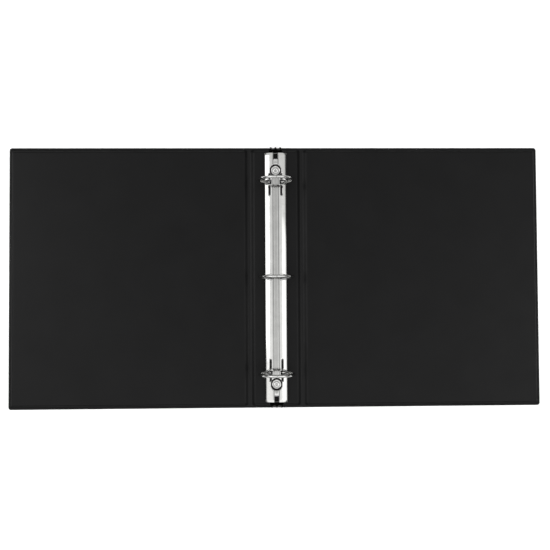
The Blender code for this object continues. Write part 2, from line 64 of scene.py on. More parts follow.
JOINTS = {joint["name"]: joint["pos_m"] for joint in frame["joints"]}

# --- Places read from the frame -------------------------------------------
HALF_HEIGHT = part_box("spine_outer_vinyl")[1].y
FREE_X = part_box("back_outer_vinyl")[1].x
CREASE_X = JOINTS["back_cover_hinge"][0]
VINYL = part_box("spine_outer_vinyl")[1].z
LINING_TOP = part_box("spine_inner_vinyl")[1].z
PLATE_LOW, PLATE_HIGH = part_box("arch_plate")
PLATE_HALF_WIDTH = PLATE_HIGH.x
PLATE_END = PLATE_HIGH.y
PLATE_BASE = PLATE_LOW.z
RIVET_Y = sum(corner.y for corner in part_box("top_rivet")) / 2
RING_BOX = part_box("top_left_half_ring")
RING_Y = (RING_BOX[0].y + RING_BOX[1].y) / 2
RING_PLACES = {"top": RING_Y, "middle": 0.0, "bottom": -RING_Y}
WIRE_RADIUS = (RING_BOX[1].y - RING_BOX[0].y) / 2
RING_TOP_Z = RING_BOX[1].z - WIRE_RADIUS
RING_FOOT_Z = RING_BOX[0].z
LEVER_PIVOT_Y, LEVER_PIVOT_Z = JOINTS["top_lever_pivot"][1:]
LEVER_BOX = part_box("top_lever")
LEVER_HALF_WIDTH = LEVER_BOX[1].x
LEVER_TOP_CLEARANCE = 0.0003   # of the pad's middle below the top of its box
LEVER_PAD_TOP = LEVER_BOX[1].z - LEVER_PIVOT_Z - LEVER_TOP_CLEARANCE

# --- Case surface -----------------------------------------------------------
CASE_CORNER = 0.0030           # radius of the four free corners
GRID_STEP = 0.0042
RIM_STEPS = (0, 0.00012, 0.0003, 0.0005, 0.0007, 0.0009, 0.0011, 0.0013, 0.0015, 0.0018, 0.0021, 0.0024,
             0.0028, 0.0032, 0.0036, 0.0040, 0.0044, 0.0048, 0.0052, 0.0057, 0.0064, 0.0078)
CREASE_STEPS = (0, 0.0004, 0.0008, 0.0012, 0.0016, 0.0021, 0.0027, 0.0033, 0.0040, 0.0048, 0.0056, 0.0065)
CREASE_WELD_HALF = 0.0006      # half width of the weld line along a crease
CREASE_LINE_DEPTH = 0.00008    # pressed into the lining
OUTER_LINE_DEPTH = 0.0002      # pressed into the outer vinyl
CREASE_CREST = 0.0065          # from the crease to where the lining lies flat on the board
MARGIN_FOOT = 0.0016           # from the edge to the foot of the lining's slope
MARGIN_CREST = 0.0056
WELD_GROOVE = 0.0011           # from the edge to the weld groove's middle
WELD_GROOVE_HALF = 0.0004
WELD_GROOVE_DEPTH = 0.00015
OUTER_GROOVE_SHARE = 0.8       # of the weld groove's depth, on the outer vinyl
RIM_ROUND = 0.0009             # width of the rounded rim
RIM_DROP = 0.00040
WELD_TOP = 2 * VINYL           # both sheets pressed together
WAVE_HEIGHT = 0.00012          # slow unevenness of the lining over the board
PUCKER_HEIGHT = 0.00007        # small ripples next to the welds
PUCKER_REACH = 0.0130

# --- Arch plate -------------------------------------------------------------
EDGE_ROUND = 0.00018           # on the cut edges of the plate and the levers
PLATE_THICKNESS = 0.0009
PLATE_CROWN_RISE = 0.0030      # of the curved crown above the upright side walls
PLATE_FULLNESS = 2.3           # exponent of the crown's curve
PLATE_LIP = 0.0025             # width of the lips turned in under the side walls
PLATE_CORNER = 0.0004
PLATE_SHOULDER_ROUND = 0.0007
PLATE_SHOULDER_STEPS = 5
PLATE_COLUMNS = 60
PLATE_ROW_STEP = 0.0030
DISH_ROW_STEP = 0.0008
DISH_ROWS = 10                 # on each side of a rivet seat's middle
RING_ROW_STEP = 0.0010
RING_ROWS = 17                 # on each side of a ring
ROW_CLEARANCE = 0.0009         # between an even row and a fine one
COLUMN_CLEARANCE = 0.0002      # between an even column and a shoulder's
DISH_DEPTH = 0.0023
DISH_FLOOR_RADIUS = 0.0046
DISH_RIM_RADIUS = 0.0076
DISH_SOFTNESS = 0.25           # how far the dish's straight wall is eased at its ends
DISH_SHADE = 1.6               # above 1, so the ring of painted shade on a seat's wall has a flat middle
SLOT_INNER_X = 0.0044
SLOT_SIDE_WALL = 0.0007
SLOT_OUTER_X = PLATE_HALF_WIDTH - SLOT_SIDE_WALL
SLOT_HALF_LENGTH = 0.0026
NOTCH_HALF_WIDTH = 0.0025
NOTCH_LENGTH = 0.0080
GROOVE_X = 0.0068
GROOVE_HALF_WIDTH = 0.0016
GROOVE_DEPTH = 0.0014
GROOVE_START = 0.0032          # from a ring's centre
GROOVE_INBOARD_END = 0.0155
GROOVE_OUTBOARD_END = 0.0102
GROOVE_START_EASE = 0.0008
GROOVE_END_EASE = 0.0012
# share of painted shade in the grooves, capped at the full painted shade
GROOVE_SHADE = 1.5
BEAD_X = 0.0028                # fine rolled lines along the crown
BEAD_HALF_WIDTH = 0.0007
BEAD_DEPTH = 0.00020
BEAD_SHADE = 0.8               # of the full painted shade, for dark lines of painted shade along the beads

# --- Rings --------------------------------------------------------------------
RING_SIDES = 28
RING_ARC_STEPS = 56
RING_FOOT_X = 0.00625
RING_FOOT_BEND = 0.0022
RING_BEND_STEPS = 8
RING_RISE = 0.0041             # full circle's lowest point above the arch plate's base
RING_RADIUS = (RING_TOP_Z - PLATE_BASE - RING_RISE) / 2
RING_CENTRE_Z = PLATE_BASE + RING_RISE + RING_RADIUS
TIP_GAP = 0.00015
TIP_PIN_RADIUS = 0.0007
TIP_PIN_LENGTH = 0.0009
TIP_CHAMFER = 0.00022

# --- Rivets -------------------------------------------------------------------
RIVET_HEAD_RADIUS = 0.0031
RIVET_SHANK_RADIUS = 0.0020
RIVET_BORE_RADIUS = 0.0012
RIVET_FLANGE_RADIUS = 0.0050
RIVET_FLANGE_THICKNESS = 0.0008
RIVET_HEAD_THICKNESS = 0.0008
RIVET_ROLL_EDGE = 0.0002       # upright edge under the rolled head
RIVET_ROLL_STEPS = 8
RIVET_BORE_DEPTH = 0.0016
RIVET_SEGMENTS = 48

# --- Levers -------------------------------------------------------------------
LEVER_SHEET = 0.0008
LEVER_CURL_RADIUS = 0.00125    # of the sheet's middle, round the pin
LEVER_CURL_STEPS = 12
LEVER_CURL_PAST = 20           # degrees past half a turn
LEVER_TONGUE_REACH = 0.0055
LEVER_TONGUE_DROP = 0.0033
LEVER_TONGUE_HALF_WIDTH = 0.0040
LEVER_HUB_HALF_WIDTH = 0.0060
LEVER_TOP_HALF_WIDTH = 0.0060
LEVER_ARM_DROP = 0.0010
LEVER_ARM_START = 0.0008       # past the curl
LEVER_PAD_FOOT = 0.0082        # from the pivot
LEVER_PAD_LEAN = 0.0024
LEVER_PAD_ROWS = 15
LEVER_BEND_RADIUS = 0.0022
LEVER_BEND_STEPS = 8
LEVER_WIDENING_START = 0.0012  # past the curl
LEVER_WIDENING_END = LEVER_PAD_FOOT - 0.0020
LEVER_RIB_X = 0.00535          # of the two outer ribs
LEVER_RIB_FOOT = 0.0012        # height above the pivot where the ribs start
LEVER_RIB_HALF_WIDTH = 0.0020  # any narrower, and the thick sheet would fold over in the ribs
LEVER_RIB_DEPTH = 0.0017
LEVER_COLUMNS = 44
LEVER_WINDOW_HALF_WIDTH = 0.0031   # opening between the two curls, under the plate's notch
LEVER_WINDOW_FLOOR = 0.0004        # above the tongue

# --- Other finishes, and painted shade ----------------------------------------
DULL_TONE = 0.86               # share of the plating's brightness left where it is smudged
PAINTED_SHADE_TONE = 0.05             # share of it left under the painted shade in pressed recesses
HINGE_EDGE_ROUND = 0.00015     # on the hinge plates under the arch
VINYL_BLUE = 0.0001            # added to the vinyl's blue

# --- Camera and light ---------------------------------------------------------
CAMERA_PLACE = (-0.0209, -0.0197, 0.7982)
CAMERA_TILT_DEGREES = (1.600, -1.4245, -0.325)
CAMERA_LENS_MM = 45.62
CAMERA_NEAREST = 0.02
FLOOR_SIZE = 12.0
FLOOR_Z = -0.0003
DOME_TONES = ((0.0, 0.04), (0.48, 0.06), (0.66, 0.92), (0.945, 0.92), (0.978, 0.62), (1.0, 0.58))
DOME_FADE = {"From Min": -0.25, "From Max": 0.25, "To Min": 2.5, "To Max": 1.5}
LIGHT_SIZE = (0.9, 1.2)
LIGHTS = {"left_light": ((-1.4, 0.2, 1.25), 8), "right_light": ((1.4, -0.2, 1.25), 4)}


def smoothstep(low, high, value):
    """Return 0 below low, 1 above high, and an eased share between them."""
    share = min(max((value - low) / (high - low), 0), 1)
    return share * share * (3 - 2 * share)


def bump(value, centre, half_width):
    """Return a smooth bump, 1 at its centre and 0 beyond its half width."""
    return 1 - smoothstep(0, half_width, abs(value - centre))


# --- Mesh helpers -------------------------------------------------------------
def make_piece(name, bm, material, body=None, sharp_degrees=40):
    """Turn a bmesh into a smooth-shaded piece that rides on a body."""
    bmesh.ops.recalc_face_normals(bm, faces=bm.faces)
    mesh = bpy.data.meshes.new(name)
    bm.to_mesh(mesh)
    bm.free()
    mesh.shade_smooth()
    mesh.set_sharp_from_angle(angle=radians(sharp_degrees))
    mesh.materials.append(material)
    piece = bpy.data.objects.new(name, mesh)
    bpy.context.scene.collection.objects.link(piece)
    if body:
        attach(piece, body)
    return piece


def add_grid(bm, rows):
    """Skin rows of points with quads and return the rows of vertices."""
    verts = [[bm.verts.new(point) for point in row] for row in rows]
    for lower, upper in zip(verts, verts[1:]):
        for i in range(len(lower) - 1):
            bm.faces.new((lower[i], lower[i + 1], upper[i + 1], upper[i]))
    return verts


def border(verts):
    """Return a vertex grid's border as one closed loop."""
    right = [row[-1] for row in verts[1:-1]]
    left = [row[0] for row in verts[1:-1]]
    return verts[0] + right + verts[-1][::-1] + left[::-1]


def bridge(bm, first, second):
    """Join two closed loops of vertices with quads."""
    count = len(first)
    for i in range(count):
        j = (i + 1) % count
        bm.faces.new((first[i], first[j], second[j], second[i]))


def add_slab(bm, upper, lower):
    """Close two matching grids of points into one thin solid."""
    bridge(bm, border(add_grid(bm, upper)), border(add_grid(bm, lower)))


def add_tube(bm, loops):
    """Skin closed loops of points one to the next and cap both ends."""
    rows = [[bm.verts.new(point) for point in loop] for loop in loops]
    for lower, upper in zip(rows, rows[1:]):
        bridge(bm, lower, upper)
    bm.faces.new(rows[0])
    bm.faces.new(rows[-1])


def add_thickness(piece, thickness, offset):
    """Thicken a bent sheet and round its cut edges."""
    shell = piece.modifiers.new("thickness", "SOLIDIFY")
    shell.thickness = thickness
    shell.offset = offset
    edges = piece.modifiers.new("rounded edges", "BEVEL")
    edges.width = EDGE_ROUND
    edges.segments = 2
    edges.limit_method = "ANGLE"
    edges.angle_limit = radians(60)


def circle(radius, segments):
    """Return points round a circle about the origin."""
    angles = [2 * pi * i / segments for i in range(segments)]
    return [(radius * cos(angle), radius * sin(angle)) for angle in angles]


def even_steps(start, end, step):
    """Return evenly spread values between two ends, without the ends."""
    count = max(round(abs(end - start) / step), 1)
    return [start + (end - start) * i / count for i in range(1, count)]


def snap(values, targets):
    """Move the nearest values onto the targets, so that cut edges follow grid lines."""
    snapped = list(values)
    for target in targets:
        nearest = min(range(len(snapped)), key=lambda i: abs(snapped[i] - target))
        snapped[nearest] = target
    return sorted(set(snapped))


# --- Case: cover and spine vinyl, and the lining -----------------------------
def case_rows():
    """Return the Y stations of the case's sheets, fine at both edges."""
    low = [-HALF_HEIGHT + step for step in RIM_STEPS]
    middle = even_steps(low[-1], -low[-1], GRID_STEP)
    return low + middle + [-y for y in low[::-1]]


def cover_columns(side):
    """Return a cover's X stations, from its free edge to the seam on the spine."""
    edge = [FREE_X - step for step in RIM_STEPS]
    crease = [CREASE_X + step for step in CREASE_STEPS[::-1]]
    over = [CREASE_X - step for step in CREASE_STEPS[1:]]
    columns = edge + even_steps(edge[-1], crease[0], GRID_STEP) + crease + over
    return sorted(side * x for x in columns)


def spine_columns():
    """Return the spine's X stations, from seam to seam."""
    seam = CREASE_X - CREASE_STEPS[-1]
    return [-seam] + even_steps(-seam, seam, GRID_STEP / 2) + [seam]


def round_corner(x, y):
    """Move a point near a free corner so that the corner's edge is an arc."""
    centre_x = FREE_X - CASE_CORNER
    centre_y = HALF_HEIGHT - CASE_CORNER
    out_x = abs(x) - centre_x
    out_y = abs(y) - centre_y
    if out_x <= 0 or out_y <= 0:
        return x, y
    scale = max(out_x, out_y) / hypot(out_x, out_y)
    across = (centre_x + out_x * scale) * (1 if x > 0 else -1)
    along = (centre_y + out_y * scale) * (1 if y > 0 else -1)
    return across, along


def case_distances(x, y):
    """Return a grid point's distances from the case's edge and from the nearest crease."""
    return min(FREE_X - abs(x), HALF_HEIGHT - abs(y)), abs(abs(x) - CREASE_X)


def raised_share(edge, crease):
    """Return 0 on the welds and 1 where a sheet lies over a board."""
    over_margin = smoothstep(MARGIN_FOOT, MARGIN_CREST, edge)
    return over_margin * smoothstep(CREASE_WELD_HALF, CREASE_CREST, crease)


def weld_groove(edge):
    """Return the weld groove's depth at a distance from the edge."""
    return WELD_GROOVE_DEPTH * bump(edge, WELD_GROOVE, WELD_GROOVE_HALF)


def rim_drop(edge):
    """Return how far the rounded rim falls below the sheet at a distance from the edge."""
    return RIM_DROP * (1 - min(edge / RIM_ROUND, 1)) ** 2


def lining_wave(x, y, edge, crease):
    """Return the lining's slow waves and the ripples pulled in by its welds.

    The factors on x and y are waves per metre, and the third number picks a slice of the noise.
    """
    slow = noise.noise(Vector((x * 9, y * 11, 0.3))) + 0.5 * noise.noise(Vector((x * 23, y * 19, 4.1)))
    beside_weld = bump(min(edge - MARGIN_CREST, crease - CREASE_CREST), 0, PUCKER_REACH)
    ripple = noise.noise(Vector((x * 70, y * 70, 8.2)))
    return slow * WAVE_HEIGHT + ripple * beside_weld * PUCKER_HEIGHT


def lining_heights(x, y):
    """Return the lining's upper and lower height at a grid point."""
    edge, crease = case_distances(x, y)
    share = raised_share(edge, crease)
    lower = VINYL + (LINING_TOP - 2 * VINYL) * share
    wave = lining_wave(x, y, edge, crease) * share
    upper = lower + VINYL - weld_groove(edge) - rim_drop(edge) + min(wave, 0)
    crease_line = CREASE_LINE_DEPTH * bump(crease, 0, CREASE_WELD_HALF * 2)
    return upper - crease_line, lower + min(wave, 0)


def outer_heights(x, y):
    """Return the outer sheet's upper and lower height at a grid point."""
    edge, crease = case_distances(x, y)
    crease_line = OUTER_LINE_DEPTH * bump(crease, 0, CREASE_WELD_HALF * 2)
    pressed = weld_groove(edge) * OUTER_GROOVE_SHARE + crease_line
    return VINYL, pressed + rim_drop(edge)


def build_case_sheet(name, columns, heights, material, body=None):
    """Build one panel's sheet from the upper and lower heights at its grid points."""
    upper = []
    lower = []
    for y in case_rows():
        high_row = []
        low_row = []
        for x in columns:
            high, low = heights(x, y)
            across, along = round_corner(x, y)
            high_row.append((across, along, high))
            low_row.append((across, along, low))
        upper.append(high_row)
        lower.append(low_row)
    bm = bmesh.new()
    add_slab(bm, upper, lower)
    return make_piece(name, bm, material, body)


def build_case(materials):
    """The covers' sheets dip into the creases and reach on to the spine, riding on no body; the spine's sheets
    ride on the spine.
    """
    kinds = (
        ("vinyl", outer_heights, "outer_vinyl", "cover_vinyl"),
        ("lining", lining_heights, "inner_vinyl", "lining_vinyl"),
    )
    for kind, heights, node, slot in kinds:
        spine = build_case_sheet(f"spine_{kind}", spine_columns(), heights, materials[slot], "spine")
        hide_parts(f"spine_{node}")
        for cover, side in COVERS.items():
            piece = build_case_sheet(f"{cover}_{kind}", cover_columns(side), heights, materials[slot])
            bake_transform(piece)
            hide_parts(f"{cover}_{node}")


# --- Arch plate ---------------------------------------------------------------
def crown_z(x):
    """Return the height of the plate's outer skin, with its shoulders rounded off."""
    share = abs(x) / PLATE_HALF_WIDTH
    crown = PLATE_HIGH.z - PLATE_CROWN_RISE * share ** PLATE_FULLNESS
    inset = PLATE_HALF_WIDTH - abs(x)
    if inset >= PLATE_SHOULDER_ROUND:
        return crown
    across = PLATE_SHOULDER_ROUND - inset
    return crown - PLATE_SHOULDER_ROUND + (PLATE_SHOULDER_ROUND ** 2 - across ** 2) ** 0.5


def plate_profile():
    """Return the plate's outer skin across its width, lips included, as (x, z)."""
    even = [PLATE_HALF_WIDTH * (2 * i / PLATE_COLUMNS - 1) for i in range(PLATE_COLUMNS + 1)]
    cuts = [side * x for side in SIDES.values() for x in (SLOT_INNER_X, SLOT_OUTER_X, NOTCH_HALF_WIDTH)]
    groove = [GROOVE_X + part * GROOVE_HALF_WIDTH for part in (-1, 0, 1)]
    cuts += [side * x for side in SIDES.values() for x in groove]
    turns = [pi / 2 * i / PLATE_SHOULDER_STEPS for i in range(PLATE_SHOULDER_STEPS)]
    shoulder = [PLATE_SHOULDER_ROUND * (1 - cos(turn)) for turn in turns]
    rounds = [side * (PLATE_HALF_WIDTH - inset) for side in SIDES.values() for inset in shoulder]
    reach = PLATE_HALF_WIDTH - PLATE_SHOULDER_ROUND - COLUMN_CLEARANCE
    inner = [x for x in even if abs(x) < reach]
    columns = sorted(set(snap(inner, cuts) + rounds))
    crown = [(x, crown_z(x)) for x in columns]
    lip_x = PLATE_HALF_WIDTH - PLATE_LIP
    corner_x = PLATE_HALF_WIDTH - PLATE_CORNER
    left = [(-lip_x, PLATE_BASE), (-corner_x, PLATE_BASE), (-PLATE_HALF_WIDTH, PLATE_BASE + PLATE_CORNER)]
    right = [(-x, z) for x, z in left[::-1]]
    return left + crown + right


def plate_rows():
    """Return the plate's Y stations: fine at the dishes, slots, grooves and notches."""
    rows = [-PLATE_END] + even_steps(-PLATE_END, PLATE_END, PLATE_ROW_STEP) + [PLATE_END]
    fine = []
    cuts = []
    for end in ENDS.values():
        fine += [end * RIVET_Y + DISH_ROW_STEP * i for i in range(-DISH_ROWS, DISH_ROWS + 1)]
        cuts.append(end * (PLATE_END - NOTCH_LENGTH))
    for ring_y in RING_PLACES.values():
        fine += [ring_y + RING_ROW_STEP * i for i in range(-RING_ROWS, RING_ROWS + 1)]
        cuts += [ring_y - SLOT_HALF_LENGTH, ring_y + SLOT_HALF_LENGTH]
    clear = [y for y in rows if min(abs(y - other) for other in fine) > ROW_CLEARANCE]
    return snap(sorted(clear + fine), cuts + [-PLATE_END, PLATE_END])


def rivet_distance(x, y):
    """Return a point's distance from the nearer rivet's axis."""
    return min(hypot(x, y - end * RIVET_Y) for end in ENDS.values())


def dish_drop(x, y, z):
    """Return how far the rivet seats press the plate down at a point: 0, or a negative height."""
    radius = rivet_distance(x, y)
    floor_z = PLATE_HIGH.z - DISH_DEPTH
    straight = min(max((radius - DISH_FLOOR_RADIUS) / (DISH_RIM_RADIUS - DISH_FLOOR_RADIUS), 0), 1)
    eased = smoothstep(0, 1, straight)
    seat_z = floor_z + DISH_DEPTH * (straight + (eased - straight) * DISH_SOFTNESS)
    return min(seat_z - z, 0)


def dish_shade(x, y):
    """Return 0..1, how much painted shade darkens the plating on a rivet seat's wall."""
    middle = (DISH_FLOOR_RADIUS + DISH_RIM_RADIUS) / 2
    half_width = (DISH_RIM_RADIUS - DISH_FLOOR_RADIUS) / 2
    return min(DISH_SHADE * bump(rivet_distance(x, y), middle, half_width), 1)


def groove_share(x, y):
    """Return 0..1, how deep a point lies in the stiffening grooves beside the end rings."""
    across = max(1 - abs(abs(x) - GROOVE_X) / GROOVE_HALF_WIDTH, 0)
    inboard = RING_Y - abs(y)
    along = 0
    for distance, groove_end in ((inboard, GROOVE_INBOARD_END), (-inboard, GROOVE_OUTBOARD_END)):
        share = smoothstep(GROOVE_START - GROOVE_START_EASE, GROOVE_START, distance)
        share *= 1 - smoothstep(groove_end - GROOVE_END_EASE, groove_end, distance)
        along = max(along, share)
    return across * along


def bead_share(x):
    """Return 0..1, how deep a point lies in the two fine lines rolled along the crown."""
    return bump(abs(x), BEAD_X, BEAD_HALF_WIDTH)


def in_plate_cut(x, y):
    """Return True inside a ring slot or an end notch."""
    in_slot_x = SLOT_INNER_X < abs(x) < SLOT_OUTER_X
    in_slot_y = any(abs(y - ring_y) < SLOT_HALF_LENGTH for ring_y in RING_PLACES.values())
    in_notch = abs(x) < NOTCH_HALF_WIDTH and abs(y) > PLATE_END - NOTCH_LENGTH
    return (in_slot_x and in_slot_y) or in_notch


def build_arch_plate(material):
    """A pressed sheet: crowned top, side walls and lips, with slots, notches, dishes and grooves.

    Each vertex carries a share of painted shade that darkens the plating on the seats' walls, in the grooves and
    along the beads.
    """
    rows = []
    shades = []
    for y in plate_rows():
        row = []
        for x, z in plate_profile():
            drop = dish_drop(x, y, z)
            on_crown = z > PLATE_BASE + PLATE_THICKNESS
            groove = groove_share(x, y) if on_crown else 0
            bead = bead_share(x) if on_crown and drop == 0 else 0
            row.append((x, y, z + min(drop, -GROOVE_DEPTH * groove - BEAD_DEPTH * bead)))
            # Painted shade: darker plating on the seats' walls, in the grooves and along the beads
            seat_shade = dish_shade(x, y) if drop < 0 else 0
            shades.append(max(seat_shade, min(GROOVE_SHADE * groove, 1), BEAD_SHADE * bead))
        rows.append(row)
    bm = bmesh.new()
    add_grid(bm, rows)
    painted_recess_shade = bm.verts.layers.float.new("painted_recess_shade")
    for vert, shade in zip(bm.verts, shades):
        vert[painted_recess_shade] = shade
    cut_faces = []
    for face in bm.faces:
        centre = face.calc_center_median()
        if centre.z > PLATE_BASE + PLATE_THICKNESS and in_plate_cut(centre.x, centre.y):
            cut_faces.append(face)
    bmesh.ops.delete(bm, geom=cut_faces, context="FACES")
    plate = make_piece("arch_plate_shell", bm, material, "spine", sharp_degrees=70)
    add_thickness(plate, PLATE_THICKNESS, offset=-1)
    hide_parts("arch_plate")


# --- Rings --------------------------------------------------------------------
def half_ring_stations(side):
    """Return (x, z, heading, radius) along a half ring, from its tip to its foot."""
    tip_x = side * TIP_GAP
    top = pi / 2
    stations = []
    if side < 0:
        stations.append((TIP_PIN_LENGTH + tip_x, RING_TOP_Z, top, TIP_PIN_RADIUS - TIP_CHAMFER))
        stations.append((TIP_PIN_LENGTH + tip_x - TIP_CHAMFER, RING_TOP_Z, top, TIP_PIN_RADIUS))
        stations.append((tip_x, RING_TOP_Z, top, TIP_PIN_RADIUS))
    else:
        bore = TIP_PIN_RADIUS + 2 * TIP_GAP
        stations.append((TIP_PIN_LENGTH + 2 * TIP_GAP, RING_TOP_Z, top, bore))
        stations.append((tip_x, RING_TOP_Z, top, bore))
    stations.append((tip_x, RING_TOP_Z, top, WIRE_RADIUS - TIP_CHAMFER))
    stations.append((tip_x + side * TIP_CHAMFER, RING_TOP_Z, top, WIRE_RADIUS))
    bend_share = (RING_FOOT_X + RING_FOOT_BEND) / (RING_RADIUS + RING_FOOT_BEND)
    start_x = RING_FOOT_X + RING_FOOT_BEND * (1 - bend_share)
    foot_angle = pi / 2 + (pi - asin(start_x / RING_RADIUS))
    for i in range(1, RING_ARC_STEPS + 1):
        angle = top + (foot_angle - top) * i / RING_ARC_STEPS
        x = -side * RING_RADIUS * cos(angle)
        stations.append((x, RING_CENTRE_Z + RING_RADIUS * sin(angle), angle, WIRE_RADIUS))
    bend_x = stations[-1][0] - side * RING_FOOT_BEND * cos(foot_angle)
    bend_z = stations[-1][1] + RING_FOOT_BEND * sin(foot_angle)
    for i in range(1, RING_BEND_STEPS + 1):
        angle = foot_angle + (pi - foot_angle) * i / RING_BEND_STEPS
        x = bend_x + side * RING_FOOT_BEND * cos(angle)
        stations.append((x, bend_z - RING_FOOT_BEND * sin(angle), angle, WIRE_RADIUS))
    stations.append((stations[-1][0], RING_FOOT_Z, pi, WIRE_RADIUS))
    return stations


def build_half_ring(place, side_name, material):
    """One half of a ring, its foot bent down through a slot and its tip a pin or a socket."""
    side = SIDES[side_name]
    loops = []
    for x, z, angle, radius in half_ring_stations(side):
        outward = (-side * cos(angle), sin(angle))
        loop = []
        for u, v in circle(radius, RING_SIDES):
            loop.append((x + outward[0] * u, RING_PLACES[place] + v, z + outward[1] * u))
        loops.append(loop)
    bm = bmesh.new()
    add_tube(bm, loops)
    ring = make_piece(f"{place}_{side_name}_ring_wire", bm, material, f"{side_name}_rings")
    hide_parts(f"{place}_{side_name}_half_ring")


# --- Rivets -------------------------------------------------------------------
def build_rivet(end_name, material):
    """Tubular rivet with a rolled head and an open bore."""
    node = f"{end_name}_rivet"
    low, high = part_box(node)
    head_low = high.z - RIVET_HEAD_THICKNESS
    roll_low = head_low + RIVET_ROLL_EDGE
    flange_top = low.z + RIVET_FLANGE_THICKNESS
    roll_x = (RIVET_HEAD_RADIUS + RIVET_BORE_RADIUS) / 2
    roll_half = (RIVET_HEAD_RADIUS - RIVET_BORE_RADIUS) / 2
    profile = [
        (RIVET_FLANGE_RADIUS, low.z),
        (RIVET_FLANGE_RADIUS, flange_top),
        (RIVET_SHANK_RADIUS, flange_top),
        (RIVET_SHANK_RADIUS, head_low),
        (RIVET_HEAD_RADIUS - RIVET_ROLL_EDGE, head_low),
    ]
    roll_rise = RIVET_HEAD_THICKNESS - RIVET_ROLL_EDGE
    for i in range(RIVET_ROLL_STEPS + 1):
        angle = pi * i / RIVET_ROLL_STEPS
        profile.append((roll_x + roll_half * cos(angle), roll_low + roll_rise * sin(angle)))
    profile.append((RIVET_BORE_RADIUS, high.z - RIVET_BORE_DEPTH))
    bm = bmesh.new()
    centre_y = ENDS[end_name] * RIVET_Y
    loops = []
    for radius, z in profile:
        loops.append([(u, centre_y + v, z) for u, v in circle(radius, RIVET_SEGMENTS)])
    add_tube(bm, loops)
    rivet = make_piece(f"{end_name}_rivet_head", bm, material, "spine", sharp_degrees=50)
    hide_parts(node)


# --- Levers -------------------------------------------------------------------
def rounded_path(points, radius, steps):
    """Round the corners of an open 2-D path with arcs."""
    path = [Vector(points[0])]
    for before, corner, after in zip(points, points[1:], points[2:]):
        corner = Vector(corner)
        inward = (Vector(before) - corner).normalized()
        outward = (Vector(after) - corner).normalized()
        half_angle = inward.angle(outward) / 2
        reach = radius * cos(half_angle) / sin(half_angle)
        centre = corner + (inward + outward).normalized() * (radius / sin(half_angle))
        start = corner + inward * reach - centre
        end = corner + outward * reach - centre
        for i in range(steps + 1):
            path.append(centre + start.lerp(end, i / steps).normalized() * radius)
    path.append(Vector(points[-1]))
    return path


def lever_path():
    """Return the sheet's middle as (y, z) from the pivot: tongue, curl, arm and pad."""
    curl = LEVER_CURL_RADIUS
    path = [Vector((y, -LEVER_TONGUE_DROP)) for y in (-LEVER_TONGUE_REACH, -2 * curl)]
    for i in range(LEVER_CURL_STEPS + 1):
        angle = pi - (pi + radians(LEVER_CURL_PAST)) * i / LEVER_CURL_STEPS
        path.append(Vector((curl * cos(angle), curl * sin(angle))))
    arm_start = (curl + LEVER_ARM_START, -LEVER_ARM_DROP)
    pad_foot = (LEVER_PAD_FOOT, -LEVER_ARM_DROP)
    pad_top = (LEVER_PAD_FOOT + LEVER_PAD_LEAN, LEVER_PAD_TOP)
    bend = rounded_path([arm_start, pad_foot, pad_top], LEVER_BEND_RADIUS, LEVER_BEND_STEPS)
    pad_start = bend[-2]
    for i in range(1, LEVER_PAD_ROWS):
        bend.insert(-1, pad_start.lerp(Vector(pad_top), i / LEVER_PAD_ROWS))
    return path + bend


def lever_half_width(point):
    """Return the sheet's half width: narrow tongue, hub, wide pad foot, narrower pad top."""
    if point.y < -LEVER_TONGUE_DROP / 2:
        return LEVER_TONGUE_HALF_WIDTH
    start = LEVER_CURL_RADIUS + LEVER_WIDENING_START
    widening = smoothstep(start, LEVER_WIDENING_END, point.x)
    wide = LEVER_HUB_HALF_WIDTH + (LEVER_HALF_WIDTH - LEVER_HUB_HALF_WIDTH) * widening
    share = min(max((point.y - LEVER_BEND_RADIUS) / (LEVER_PAD_TOP - LEVER_BEND_RADIUS), 0), 1)
    narrowed = wide + (LEVER_TOP_HALF_WIDTH - LEVER_HALF_WIDTH) * share
    return narrowed if point.x > LEVER_CURL_RADIUS * 2 else wide


def lever_rib(x, point):
    """Return how far the three pressed ribs push the pad outward at a point."""
    if point.x <= LEVER_PAD_FOOT - LEVER_SHEET / 2:
        return 0
    along = smoothstep(LEVER_RIB_FOOT, LEVER_PAD_TOP, point.y)
    across = max(bump(x, centre, LEVER_RIB_HALF_WIDTH) for centre in (-LEVER_RIB_X, 0, LEVER_RIB_X))
    return LEVER_RIB_DEPTH * along * across


def in_lever_window(place):
    """Return True in the opening over the pin, where only the two curls hold it."""
    if abs(place.x) >= LEVER_WINDOW_HALF_WIDTH:
        return False
    from_pivot = abs(place.y) - LEVER_PIVOT_Y
    above_tongue = place.z > LEVER_PIVOT_Z - LEVER_TONGUE_DROP + LEVER_WINDOW_FLOOR
    return above_tongue and -2 * LEVER_CURL_RADIUS < from_pivot < LEVER_WIDENING_END


def build_lever(end_name, material):
    """A bent sheet: tongue, two curls round the pin, arm, and a pad with three pressed ribs."""
    end = ENDS[end_name]
    path = lever_path()
    rows = []
    for i, point in enumerate(path):
        before = path[max(i - 1, 0)]
        after = path[min(i + 1, len(path) - 1)]
        heading = (after - before).normalized()
        outward = Vector((heading.y, -heading.x))
        half_width = lever_half_width(point)
        row = []
        for column in range(LEVER_COLUMNS + 1):
            x = half_width * (2 * column / LEVER_COLUMNS - 1)
            place = point + outward * lever_rib(x, point)
            row.append((x, end * (LEVER_PIVOT_Y + place.x), LEVER_PIVOT_Z + place.y))
        rows.append(row if end > 0 else row[::-1])
    bm = bmesh.new()
    add_grid(bm, rows)
    window = [face for face in bm.faces if in_lever_window(face.calc_center_median())]
    bmesh.ops.delete(bm, geom=window, context="FACES")
    lever = make_piece(f"{end_name}_lever_sheet", bm, material, f"{end_name}_lever", sharp_degrees=60)
    add_thickness(lever, LEVER_SHEET, offset=0)
    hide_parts(f"{end_name}_lever")


